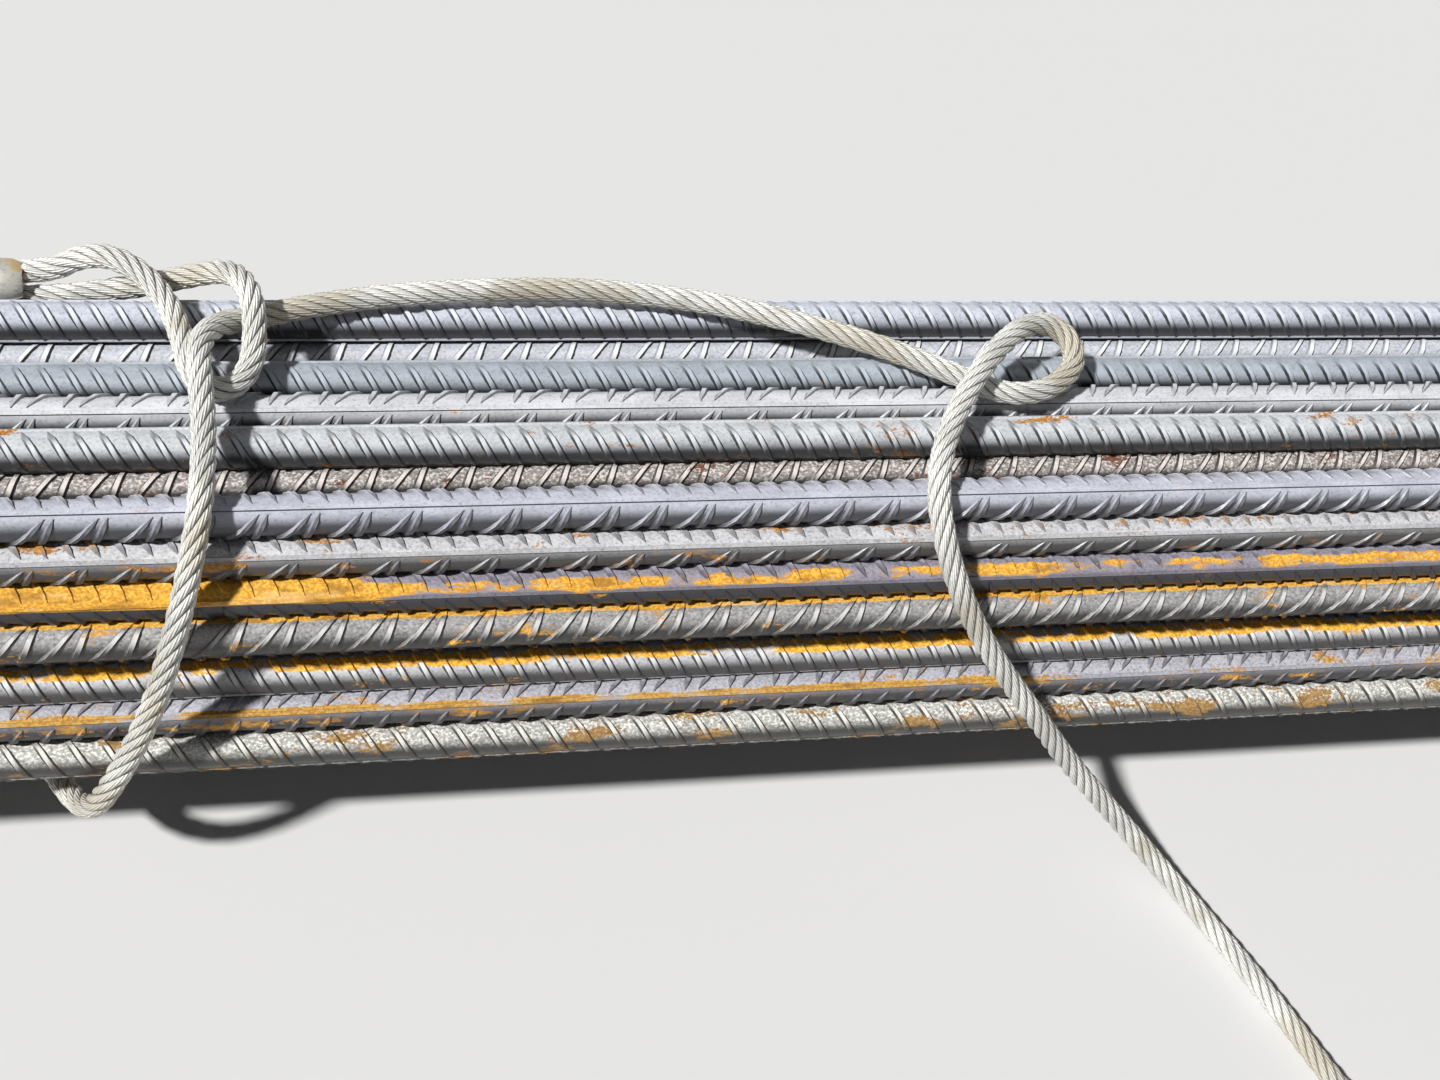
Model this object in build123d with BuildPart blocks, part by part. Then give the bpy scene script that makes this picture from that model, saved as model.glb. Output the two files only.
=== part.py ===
# A bundle of ribbed reinforcing bars on two timber spacers, held by a choked wire rope sling.
# Millimetres. X runs along the bars, -Y is the front, Z is up and the floor is Z = 0.
import math
import os

from build123d import *

# Bars
bar_length = 3000
bar_core = 15.7
bar_gap = 0.9
rib_width = 2.2
rib_height = 0.8
rib_rolls = (30, 150, 90, 150, 30, 150, 90)
end_stagger = 12
end_shares = (0.35, -0.6, 1, -0.15, 0.7, -1, 0.1, -0.45, 0.55, -0.8)

# How many bars lie side by side in each row, from the bottom. One row lies half a spacing further
# back, and two bars are missing from the top row, which leaves its grooves.
bar_counts = (11, 12, 11, 10, 10, 10, 9, 8, 7)
shifted_row_number = 5
missing_bar_numbers = (2, 6)
single_row_count = 2

# Timber spacers
spacer_width = 100
spacer_thickness = 50
spacer_length = 300
spacer_overhang = 500
spacer_edge = 2
seat_clearance = 0.3

# Wire ties, each with its two ends twisted together and laid against the bars
tie_wire = 5.5
tie_overhang = 260
tie_clearance = 0.3
tie_twist_length = 48
tie_twist_share = 0.9

# Wire rope sling
rope = 10
ferrule_diameter = 21
ferrule_length = 50
ferrule_edge = 2.5
ferrule_taper = 6
leg_offset = 5.2
choke_end = Vector(-98, 68.8, 174.6)
tail_start = Vector(517, -300, 11)
tail_along = Vector(0.37, -0.93, 0).normalized()

bar_spacing = bar_core + bar_gap
row_height = bar_spacing * math.sqrt(3) / 2
first_row = spacer_thickness + seat_clearance + bar_core / 2
bar_reach = bar_core / 2 + rib_height
spacer_place = bar_length / 2 - spacer_overhang
tie_place = bar_length / 2 - tie_overhang

os.makedirs("parts", exist_ok=True)


def places_in(row):
    """The places of one row's bars, in half bar spacings from the middle."""
    first = 1 - bar_counts[row] + (row + 1 == shifted_row_number)
    places = [first + 2 * number for number in range(bar_counts[row])]
    if row + 1 == len(bar_counts):
        return [place for number, place in enumerate(places, 1) if number not in missing_bar_numbers]
    return places


def centre_of(row, place):
    """Where a bar's centre line crosses the section, as (Y, Z)."""
    return place * bar_spacing / 2, first_row + row * row_height


def make_bars(name, row, places):
    """One node of the row's bars at these places. They don't touch each other."""
    with BuildPart() as bars:
        for place in places:
            y, z = centre_of(row, place)
            number = row * 4 + place
            stagger = end_stagger * end_shares[number % len(end_shares)]
            roll = rib_rolls[number % len(rib_rolls)] if row else rib_rolls[0]
            start = Plane(origin=(stagger - bar_length / 2, y, z), x_dir=(0, 1, 0), z_dir=(1, 0, 0))
            with BuildSketch(start):
                Circle(bar_core / 2)
                with Locations(Rot(0, 0, roll)):
                    Rectangle(bar_core + 2 * rib_height, rib_width)
            extrude(amount=bar_length)
    bars.part.label = name
    export_step(bars.part, f"parts/{name}.step")


def rope_path(points):
    """Straight runs joined by arcs that are as large as the runs allow, and their radii."""
    vectors = [Vector(*point) for point in points]
    radii = []
    for before, here, after in zip(vectors, vectors[1:], vectors[2:]):
        turn = (here - before).get_angle(after - here)
        shorter = min((here - before).length, (after - here).length)
        radii.append(0.45 * shorter / math.tan(math.radians(turn / 2)))
    return vectors, radii


def make_rope(name, points):
    """A plain round tube along the route."""
    vectors, radii = rope_path(points)
    with BuildPart() as tube:
        with BuildLine() as path:
            FilletPolyline(*vectors, radius=radii)
        with BuildSketch(Plane(origin=path.line @ 0, z_dir=path.line % 0)):
            Circle(rope / 2)
        sweep(path=path.line)
    length = path.wire().length
    filled = tube.part.volume / (math.pi * rope**2 / 4 * length)
    print(name, "length", round(length), "volume share", round(filled, 4))
    print("  radii", [round(radius) for radius in radii])
    tube.part.label = name
    export_step(tube.part, f"parts/{name}.step")


def make_ferrule(name, start, along):
    """A pressed ferrule, from its rope end, which tapers, towards its eye."""
    with BuildPart() as ferrule:
        with BuildSketch(Plane(origin=start, z_dir=along)):
            Circle(ferrule_diameter / 2)
        extrude(amount=ferrule_length)
        ends = ferrule.faces().filter_by(GeomType.PLANE).sort_by(lambda face: (face.center() - start).length)
        chamfer(ends[0].edges(), length=ferrule_taper, length2=ferrule_edge)
        chamfer(ends[-1].edges(), length=ferrule_edge)
    ferrule.part.label = name
    export_step(ferrule.part, f"parts/{name}.step")


def tie_corners(wire_out):
    """Where a wire drawn tight round the outer bars turns, from its twist on the front and back to it."""
    with BuildSketch(Plane.YZ) as outline:
        with BuildLine():
            for row in range(len(bar_counts)):
                for place in (places_in(row)[0], places_in(row)[-1]):
                    CenterArc(centre_of(row, place), wire_out, 0, 360)
        make_hull()
    edges = outline.sketch.face().outer_wire().edges()
    front_runs = [edge for edge in edges.filter_by(GeomType.LINE) if edge.center().Y < -bar_spacing]
    twist_run = max(front_runs, key=lambda edge: edge.length)
    number = edges.index(twist_run)
    corners = []
    for arc in ShapeList(edges[number:] + edges[:number]).filter_by(GeomType.CIRCLE):
        out_to_corner = (arc @ 0.5 - arc.arc_center) / math.cos(arc.length / wire_out / 2)
        corners.append(arc.arc_center + out_to_corner)
    return twist_run @ 0.5, corners


def make_tie(name, place):
    """A wire drawn tight round the outer bars, with its twisted ends laid along the front."""
    wire_out = bar_reach + tie_clearance + tie_wire / 2
    twist, corners = tie_corners(wire_out)
    across = Vector(place, 0, 0)
    with BuildPart() as tie:
        with BuildLine() as path:
            FilletPolyline(*[point + across for point in (twist, *corners, twist)], radius=wire_out)
        with BuildSketch(Plane(origin=path.line @ 0, z_dir=path.line % 0)):
            Circle(tie_wire / 2)
        sweep(path=path.line)
        with BuildSketch(Plane(origin=twist + across, z_dir=(1, 0, 0))):
            Circle(tie_wire * tie_twist_share)
        extrude(amount=tie_twist_length)
    tie.part.label = name
    export_step(tie.part, f"parts/{name}.step")


# Bars: the two top rows one by one, and below them each row's front bar, inner bars and back bar
for row in range(len(bar_counts)):
    places = places_in(row)
    if row >= len(bar_counts) - single_row_count:
        for count, place in enumerate(places, 1):
            make_bars(f"row_{row + 1}_bar_{count}", row, [place])
    else:
        make_bars(f"row_{row + 1}_front_bar", row, places[:1])
        make_bars(f"row_{row + 1}_inner_bars", row, places[1:-1])
        make_bars(f"row_{row + 1}_back_bar", row, places[-1:])

# Timber spacers
for name, place in (("spacer_left", -spacer_place), ("spacer_right", spacer_place)):
    with BuildPart() as spacer:
        with BuildSketch(Plane.YZ.offset(place - spacer_width / 2)):
            with Locations((0, spacer_thickness / 2)):
                Rectangle(spacer_length, spacer_thickness)
        extrude(amount=spacer_width)
        fillet(spacer.edges().filter_by(Axis.Y), radius=spacer_edge)
    spacer.part.label = name
    export_step(spacer.part, f"parts/{name}.step")

# Wire ties, between the spacers and the bars' ends
make_tie("tie_wire_left", -tie_place)
make_tie("tie_wire_right", tie_place)

# Sling: from the choke ferrule down the back, under the bundle, up the front, through the eye,
# along the top, through a small loop and down to the floor
sling_route = (
    tuple(choke_end),
    (-118, 68.8, 174.6),
    (-137, 75, 168),
    (-151, 87, 152),
    (-155, 98, 130),
    (-150, 106, 104),
    (-141, 109, 78),
    (-129, 104, 55),
    (-115, 83, 39.5),
    (-96, 42, 40.5),
    (-74, -15, 41.5),
    (-53, -62, 42.5),
    (-37, -93, 43),
    (-27, -108, 57),
    (-19, -111, 77),
    (-8, -104, 98),
    (1, -97, 120),
    (9, -86, 146),
    (16, -70, 171),
    (20.5, -55, 191.5),
    (22, -29, 193),
    (21, -6, 200),
    (20, 13, 201),
    (26, 28, 195),
    (40, 37, 188.5),
    (62, 44, 188),
    (95, 50, 188.5),
    (140, 53, 189),
    (185, 52, 189.5),
    (228, 46, 189),
    (267, 33, 190),
    (300, 20, 189.5),
    (330, 4, 189),
    (345, -5, 188.5),
    (360, -7, 189),
    (374, -2, 190),
    (384, 8, 192),
    (382, 20, 196),
    (370, 25, 200),
    (356, 17, 203),
    (343, 5, 203.5),
    (331, -8, 200),
    (320, -24, 195),
    (311, -42, 192),
    (308, -58, 185),
    (312, -71, 171),
    (320, -81, 154),
    (331, -90, 136),
    (346, -98, 116),
    (366, -106, 92),
    (388, -114, 64),
    (412, -122, 38),
    (436, -136, 16),
    (454, -158, 6.5),
    (470, -188, 5.6),
    (484, -220, 5.8),
    (497, -252, 6),
    tuple(tail_start - tail_along * 24),
    tuple(tail_start),
)
make_rope("sling_rope", sling_route)
make_ferrule("choke_ferrule", choke_end, (1, 0, 0))
make_ferrule("tail_ferrule", tail_start, tail_along)

# The choke eye lies round the rope that comes up the front, under it first and then over it
choke_eye_route = (
    (-48, 71.9, 178.8),
    (-37, 71.9, 178.8),
    (-26, 72.5, 187),
    (-12, 67, 193),
    (2, 55, 192),
    (10, 41, 189),
    (14, 27, 188),
    (16, 13, 187.8),
    (21, 2, 187.6),
    (32, 0, 188),
    (40, 9, 190.5),
    (42, 23, 196),
    (41, 37, 202),
    (36, 50, 200),
    (28, 59, 193),
    (15, 64, 184),
    (-2, 66, 177),
    (-20, 66.4, 172.5),
    (-36, 65.7, 170.4),
    (-48, 65.7, 170.4),
)
make_rope("choke_eye", choke_eye_route)

# The tail eye lies flat on the floor, as lengths along the ferrule's axis, across it and up
tail_across = Vector(0, 0, 1).cross(tail_along)
tail_end = tail_start + tail_along * ferrule_length
tail_eye_shape = (
    (0, leg_offset, 11),
    (16, leg_offset, 11),
    (34, 11, 8),
    (56, 22, 5.6),
    (85, 31, 5.6),
    (106, 25, 5.6),
    (118, 9, 5.6),
    (117, -9, 5.6),
    (105, -24, 5.6),
    (84, -30, 5.6),
    (57, -22, 5.6),
    (34, -11, 8),
    (16, -leg_offset, 11),
    (0, -leg_offset, 11),
)
tail_eye_route = []
for along, across, up in tail_eye_shape:
    place = tail_end + tail_along * along + tail_across * across
    tail_eye_route.append((place.X, place.Y, up))
make_rope("tail_eye", tail_eye_route)
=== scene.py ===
"""A bundle of ribbed reinforcing bars with a choked wire rope sling, dressed for its picture."""

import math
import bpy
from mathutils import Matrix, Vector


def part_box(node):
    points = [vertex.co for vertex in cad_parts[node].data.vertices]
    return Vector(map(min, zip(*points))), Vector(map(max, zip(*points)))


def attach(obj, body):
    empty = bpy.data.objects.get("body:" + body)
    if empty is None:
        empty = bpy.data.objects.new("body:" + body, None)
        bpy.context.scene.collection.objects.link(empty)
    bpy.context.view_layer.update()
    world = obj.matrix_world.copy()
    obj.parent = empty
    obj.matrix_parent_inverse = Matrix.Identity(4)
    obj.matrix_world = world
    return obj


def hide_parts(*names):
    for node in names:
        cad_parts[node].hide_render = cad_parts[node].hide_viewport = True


bl_info = {
    "name": "Rebar Bundle",
    "version": (1, 0, 0),
    "blender": (4, 5, 0),
    "location": "View3D > Sidebar > Rebar",
    "description": "Builds a rebar bundle with its wire rope sling, wire ties and timber spacers",
    "category": "Object",
}

import bmesh
import bpy
from bpy.props import FloatProperty, FloatVectorProperty, IntProperty, PointerProperty
from mathutils import Matrix, Vector

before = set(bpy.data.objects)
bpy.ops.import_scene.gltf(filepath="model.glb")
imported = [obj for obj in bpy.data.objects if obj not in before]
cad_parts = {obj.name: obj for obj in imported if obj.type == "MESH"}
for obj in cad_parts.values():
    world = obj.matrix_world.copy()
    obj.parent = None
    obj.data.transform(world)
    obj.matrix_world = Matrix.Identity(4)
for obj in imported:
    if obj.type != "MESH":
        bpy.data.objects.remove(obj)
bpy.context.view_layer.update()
MM = 0.001
# Points nearer to one another than this are one point
SAME_PLACE = 0.01 * MM

# The bars that show best: the rib pattern above each one's long rib and the one below it, the long
# rib's angle from the front, in degrees, and the bar's look
SHOWN_BARS = {
    "row_9_bar_5": ("close", "close", -30, "blue"),
    "row_8_bar_7": ("paired", "close", -30, "pale"),
    "row_9_bar_4": ("close", "close", -42, "soft_blue"),
    "row_9_bar_3": ("paired", "paired", 62, "bright"),
    "row_9_bar_2": ("close", "close", 128, "spotted"),
    "row_8_bar_3": ("paired", "close", -30, "speckled"),
    "row_9_bar_1": ("close", "paired", 72, "lavender"),
    "row_8_bar_1": ("close", "paired", 46, "brown_patches"),
    "row_7_front_bar": ("close", "close", 36, "rust_band"),
    "row_6_front_bar": ("close", "paired", 126, "rust_line"),
    "row_5_front_bar": ("close", "close", 40, "painted_in_shade"),
    "row_4_front_bar": ("close", "close", 140, "rust_on_top"),
    "row_3_front_bar": ("paired", "leaning", 47, "rust_along_rib"),
    "row_2_front_bar": ("close", "widest", 142, "flaky"),
    "row_1_front_bar": ("close", "close", 50, "painted_in_shade"),
}

# Each look, in the words of bar_finish, whose own values stand for what a look doesn't say
LOOKS = {
    "blue": dict(tint=(0.60, 0.63, 0.71), crest_wear_and_highlight=1.3),
    "soft_blue": dict(tint=(0.43, 0.47, 0.52), flakes=0.15, flank=0.45, crest_wear_and_highlight=1.2),
    "pale": dict(tint=(0.58, 0.60, 0.65)),
    "bright": dict(tint=(0.68, 0.69, 0.72), flakes=0.2, flank=0.5),
    "spotted": dict(
        tint=(0.62, 0.64, 0.66), rust=0.15, rust_colour=(0.55, 0.27, 0.04), crest_wear_and_highlight=1.25),
    # This bar's sides are painted dark far up, as shade from the bars on either side of it
    "speckled": dict(
        tint=(0.33, 0.30, 0.28), rust=0.17, rust_colour=(0.20, 0.09, 0.045), grain=1.0, flakes=0.8,
        dirt=(0.03, 0.02, 0.015), crest_wear_and_highlight=2.5, painted_shade_below=0.55),
    "lavender": dict(tint=(0.55, 0.56, 0.64), flakes=0.15),
    "brown_patches": dict(
        tint=(0.60, 0.59, 0.60), rust=0.15, rust_colour=(0.50, 0.27, 0.07), grain=0.6,
        stripes=((106, 24, 0.08), (20, 8, 0.16, -0.1, 0.3))),
    "rust_band": dict(
        tint=(0.30, 0.28, 0.33), rust=0.10, grain=0.6,
        stripes=((92, 66, 0.50, 0.03, 0.11), (60, 16, 0.18))),
    "rust_line": dict(
        tint=(0.35, 0.34, 0.33), rust=0.14, grain=0.9, dirt=(0.04, 0.025, 0.02), crest_wear_and_highlight=2.3,
        stripes=((106, 14, 0.40),)),
    "rust_on_top": dict(
        tint=(0.64, 0.64, 0.65), rust=0.10, rust_colour=(0.98, 0.57, 0.06), grain=0.6,
        stripes=((78, 20, 0.25),)),
    "rust_along_rib": dict(
        tint=(0.47, 0.46, 0.50), rust=0.14, rust_colour=(0.62, 0.38, 0.08), grain=0.6,
        stripes=((52, 6, 0.20, 0.2, 0.5), (52, 6, 0.08), (24, 14, 0.09))),
    "flaky": dict(
        tint=(0.52, 0.51, 0.47), rust=0.22, rust_colour=(0.42, 0.28, 0.10), grain=1.0, flakes=1.2,
        dirt=(0.13, 0.08, 0.04), painted_shade_below=0.3),
    # A bar painted near black because it lies in shade between and under other bars
    "painted_in_shade": dict(tint=(0.16, 0.15, 0.14), rust=0.16, grain=0.8),
}

# The looks that the other bars share in turn, the patterns of their upper sides, how far each is
# turned from the one before, in degrees, and how strongly shade is painted on their lower sides
OTHER_LOOKS = ("blue", "pale", "brown_patches", "spotted", "lavender", "flaky")
OTHER_PATTERNS = ("close", "paired", "leaning")
OTHER_TURN = 37
OTHER_PAINTED_SHADE = 0.6

# The routes of the sling's rope and of its choke eye, point by point, in millimetres
SLING_ROUTE = (
    (-98, 68.8, 174.6), (-118, 68.8, 174.6), (-137, 75, 168), (-151, 87, 152), (-155, 98, 130),
    (-150, 106, 104), (-141, 109, 78), (-129, 104, 55), (-115, 83, 39.5), (-96, 42, 40.5),
    (-74, -15, 41.5), (-53, -62, 42.5), (-37, -93, 43), (-27, -108, 57), (-19, -111, 77),
    (-8, -104, 98), (1, -97, 120), (9, -86, 146), (16, -70, 171), (20.5, -55, 191.5),
    (22, -29, 193), (21, -6, 200), (20, 13, 201), (26, 28, 195), (40, 37, 188.5), (62, 44, 188),
    (95, 50, 188.5), (140, 53, 189), (185, 52, 189.5), (228, 46, 189), (267, 33, 190),
    (300, 20, 189.5), (330, 4, 189), (345, -5, 188.5), (360, -7, 189), (374, -2, 190),
    (384, 8, 192), (382, 20, 196), (370, 25, 200), (356, 17, 203), (343, 5, 203.5), (331, -8, 200),
    (320, -24, 195), (311, -42, 192), (308, -58, 185), (312, -71, 171), (320, -81, 154),
    (331, -90, 136), (346, -98, 116), (366, -106, 92), (388, -114, 64), (412, -122, 38),
    (436, -136, 16), (454, -158, 6.5), (470, -188, 5.6), (484, -220, 5.8), (497, -252, 6),
    (508.1, -277.7, 11), (517, -300, 11),
)
CHOKE_EYE_ROUTE = (
    (-48, 71.9, 178.8), (-37, 71.9, 178.8), (-26, 72.5, 187), (-12, 67, 193), (2, 55, 192),
    (10, 41, 189), (14, 27, 188), (16, 13, 187.8), (21, 2, 187.6), (32, 0, 188), (40, 9, 190.5),
    (42, 23, 196), (41, 37, 202), (36, 50, 200), (28, 59, 193), (15, 64, 184), (-2, 66, 177),
    (-20, 66.4, 172.5), (-36, 65.7, 170.4), (-48, 65.7, 170.4),
)
# The tail eye's route, as lengths along its ferrule's axis, across it and up
TAIL_EYE_SHAPE = (
    (0, 5.2, 11), (16, 5.2, 11), (34, 11, 8), (56, 22, 5.6), (85, 31, 5.6), (106, 25, 5.6),
    (118, 9, 5.6), (117, -9, 5.6), (105, -24, 5.6), (84, -30, 5.6), (57, -22, 5.6), (34, -11, 8),
    (16, -5.2, 11), (0, -5.2, 11),
)
TAIL_START = Vector((517, -300, 0))
TAIL_ALONG = Vector((0.37, -0.93, 0)).normalized()


class RebarBarSettings(bpy.types.PropertyGroup):
    core: FloatProperty(
        name="Core diameter", description="Diameter of a bar between its ribs",
        default=15.7 * MM, unit="LENGTH")
    long_rib_height: FloatProperty(
        name="Long rib height", description="How far the two ribs along a bar stand out",
        default=0.8 * MM, unit="LENGTH")
    rib_height: FloatProperty(
        name="Rib height", description="How far a crescent rib stands out at its middle",
        default=1.35 * MM, unit="LENGTH")
    rib_width: FloatProperty(
        name="Rib width", description="Width of a crescent rib at its foot",
        default=4.2 * MM, unit="LENGTH")
    sides: IntProperty(
        name="Sides", description="Number of sides of a bar's core", default=24, min=12, max=48)
    rust_colour: FloatVectorProperty(
        name="Fresh rust", description="Colour of young yellow-orange rust",
        default=(0.86, 0.50, 0.06), subtype="COLOR", min=0, max=1)


class RebarRopeSettings(bpy.types.PropertyGroup):
    diameter: FloatProperty(
        name="Rope diameter", description="Diameter of the wire rope", default=10 * MM, unit="LENGTH")
    strands: IntProperty(
        name="Strands", description="Number of strands laid round the core", default=6, min=3, max=8)
    lay: FloatProperty(
        name="Lay length", description="Length in which a strand goes once round the rope",
        default=46 * MM, unit="LENGTH")
    step: FloatProperty(
        name="Step", description="Distance between the rings of a strand", default=2.6 * MM, unit="LENGTH")
    strand_colour: FloatVectorProperty(
        name="Strand colour", description="Colour of the dusty galvanised wires",
        default=(0.66, 0.65, 0.605), subtype="COLOR", min=0, max=1)


class RebarStageSettings(bpy.types.PropertyGroup):
    key_strength: FloatProperty(
        name="Key light", description="Strength of the light from the upper left", default=4.6, min=0)
    key_angle: FloatProperty(
        name="Softness", description="Angle that the light covers, which softens its shadows",
        default=math.radians(4), subtype="ANGLE")
    fill_strength: FloatProperty(
        name="Fill light", description="Strength of the even light from all round", default=0.06, min=0)
    floor_colour: FloatVectorProperty(
        name="Floor", description="Colour of the plain floor",
        default=(0.66, 0.655, 0.645), subtype="COLOR", min=0, max=1)


class Number:
    """A socket of a material, on which sums can be written."""

    def __init__(self, finish, socket):
        self.finish = finish
        self.socket = socket

    def _do(self, operation, *values):
        return self.finish.node("ShaderNodeMath", {"operation": operation}, dict(enumerate(values)))

    def __add__(self, other):
        return self._do("ADD", self, other)

    __radd__ = __add__

    def __sub__(self, other):
        return self._do("SUBTRACT", self, other)

    def __rsub__(self, other):
        return self._do("SUBTRACT", other, self)

    def __mul__(self, other):
        return self._do("MULTIPLY", self, other)

    __rmul__ = __mul__

    def sine(self):
        return self._do("SINE", self)

    def dot(self, direction):
        """How far a vector's socket goes in one direction."""
        return self.finish.vector("DOT_PRODUCT", self, direction, output=1)

    def unit(self):
        """A vector's socket, made one long."""
        return self.finish.vector("NORMALIZE", self)

    def ramp(self, low, high):
        """0 below low, 1 above high and smooth between them."""
        return self.finish.node(
            "ShaderNodeMapRange",
            {"interpolation_type": "SMOOTHSTEP"},
            {"Value": self, "From Min": low, "From Max": high})


class Finish:
    """A material of one principled shader, and the nodes that feed it."""

    def __init__(self, name, **constants):
        self.material = bpy.data.materials.new(name)
        self.material.use_nodes = True
        self.tree = self.material.node_tree
        self.shader = self.tree.nodes["Principled BSDF"]
        for socket, value in constants.items():
            self.shader.inputs[socket.replace("_", " ")].default_value = value

    def node(self, kind, settings=None, values=None, output=0):
        """One node, with its settings, then its sockets' values or links; gives one of its outputs."""
        node = self.tree.nodes.new(kind)
        for setting, value in (settings or {}).items():
            setattr(node, setting, value)
        for socket, value in (values or {}).items():
            if isinstance(value, Number):
                self.tree.links.new(value.socket, node.inputs[socket])
            else:
                node.inputs[socket].default_value = value
        return Number(self, node.outputs[output])

    def vector(self, operation, *values, output=0):
        values = dict(enumerate(values))
        return self.node("ShaderNodeVectorMath", {"operation": operation}, values, output)

    def place(self, scale=(1, 1, 1), offset=(0, 0, 0)):
        """Object coordinates, in metres, shifted and then scaled."""
        coordinates = self.node("ShaderNodeTexCoord", output=3)
        return self.vector("MULTIPLY", self.vector("ADD", coordinates, offset), scale)

    def noise(self, scale, offset=(0, 0, 0), detail=3.0, roughness=0.55):
        """A noise whose scale and place are set along each axis."""
        values = {
            "Vector": self.place(scale, offset), "Scale": 1.0, "Detail": detail, "Roughness": roughness}
        return self.node("ShaderNodeTexNoise", None, values)

    def mix(self, share, first, second):
        """A colour between two others. The node keeps the share between 0 and 1."""
        colours = [colour if isinstance(colour, Number) else (*colour, 1) for colour in (first, second)]
        values = {0: share, 6: colours[0], 7: colours[1]}
        return self.node("ShaderNodeMix", {"data_type": "RGBA"}, values, output=2)

    def feed(self, socket, value):
        self.tree.links.new(value.socket, self.shader.inputs[socket])

    def bump(self, height, distance, strength):
        normal = self.node(
            "ShaderNodeBump", None, {"Height": height, "Distance": distance, "Strength": strength})
        self.feed("Normal", normal)


def times(colour, share):
    """A plain colour, made darker or paler."""
    return tuple(share * value for value in colour)


def deselect():
    if bpy.context.mode != "OBJECT":
        bpy.ops.object.mode_set(mode="OBJECT")
    bpy.ops.object.select_all(action="DESELECT")


def activate(obj):
    deselect()
    obj.select_set(True)
    bpy.context.view_layer.objects.active = obj


def edit(obj, pick, *, mode="VERT"):
    """Edit mode on this piece, with the vertices or faces chosen that pick says yes to."""
    activate(obj)
    bpy.ops.object.mode_set(mode="EDIT")
    bpy.ops.mesh.select_mode(type=mode)
    bpy.ops.mesh.select_all(action="DESELECT")
    mesh = bmesh.from_edit_mesh(obj.data)
    faces = mode == "FACE"
    for element in mesh.faces if faces else mesh.verts:
        place = element.calc_center_median() if faces else element.co
        if pick(place, element.normal):
            element.select_set(True)
    mesh.select_flush_mode()
    bmesh.update_edit_mesh(obj.data)


def edit_all(obj, *, mode="VERT"):
    """Edit mode on this piece, with all of it chosen."""
    edit(obj, lambda place, normal: True, mode=mode)


def add_modifier(obj, kind, **settings):
    """One modifier on this piece, applied."""
    activate(obj)
    modifier = obj.modifiers.new(kind.title(), kind)
    for setting, value in settings.items():
        setattr(modifier, setting, value)
    bpy.ops.object.modifier_apply(modifier=modifier.name)


def join(name, pieces):
    first = pieces[0]
    activate(first)
    for piece in pieces:
        piece.select_set(True)
    if len(pieces) > 1:
        bpy.ops.object.join()
    first.name = name
    first.data.name = name
    return first


def settle(obj):
    """Puts the piece's place into its mesh, with all normals out."""
    activate(obj)
    bpy.ops.object.transform_apply(location=True, rotation=True, scale=True)
    edit_all(obj)
    bpy.ops.mesh.normals_make_consistent(inside=False)
    bpy.ops.object.mode_set(mode="OBJECT")


def add_object(name, data):
    obj = bpy.data.objects.new(name, data)
    bpy.context.scene.collection.objects.link(obj)
    return obj


def copied(obj, matrix):
    """A copy with its own mesh, moved in its mesh."""
    copy = add_object(obj.name, obj.data.copy())
    copy.data.transform(matrix)
    return copy


def smooth(obj, degrees):
    activate(obj)
    bpy.ops.object.shade_smooth_by_angle(angle=math.radians(degrees))


def finish_piece(obj, material, node):
    """Gives a piece its material and its body, and hides the plain part that it stands for."""
    obj.data.materials.clear()
    obj.data.materials.append(material)
    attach(obj, "root")
    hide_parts(node)


# Bars

# Each rib pattern: its pitch, and its ribs, each with its lean, which is how far it goes along the bar
# in its whole sweep, and its place in the pitch, in millimetres.
PATTERNS = {
    "close": (9.4, ((-12.0, 0.0),)),
    "widest": (12.6, ((-14.0, 0.0),)),
    "leaning": (11.8, ((10.5, 0.0),)),
    "paired": (19.2, ((19.5, 0.0), (9.0, 8.3))),
}

# A crescent rib: how far round the bar it goes, how deep its foot is sunk, how wide its crest is
# against its foot, how soon it rises to its full height, and how wide its foot is near its points
RIB_SWEEP = math.radians(152)
RIB_SINK = 0.25 * MM
CREST_WIDTH = 0.46
RIB_RISE = 0.55
POINT_WIDTH = 0.6

# The stretch of a shown bar whose ribs get more steps and a flat crest, and the steps and profile
# corners of a rib outside it and in it
FINE_ZONE = (-0.13, 0.60)
COARSE = (4, 3)
FINE = (6, 4)

# How near the ribs come to the cut ends, and how much of a hidden bar has ribs at either end
END_MARGIN = 4 * MM
RIBBED_END = 60 * MM

# How slim a long rib's crest is, and a sheared end's slant, its bright rim and how far it bulges
LONG_RIB_TAPER = 0.72
END_SLANT = math.radians(5)
END_RIM = 0.7 * MM
END_BULGE = 0.5 * MM


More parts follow.
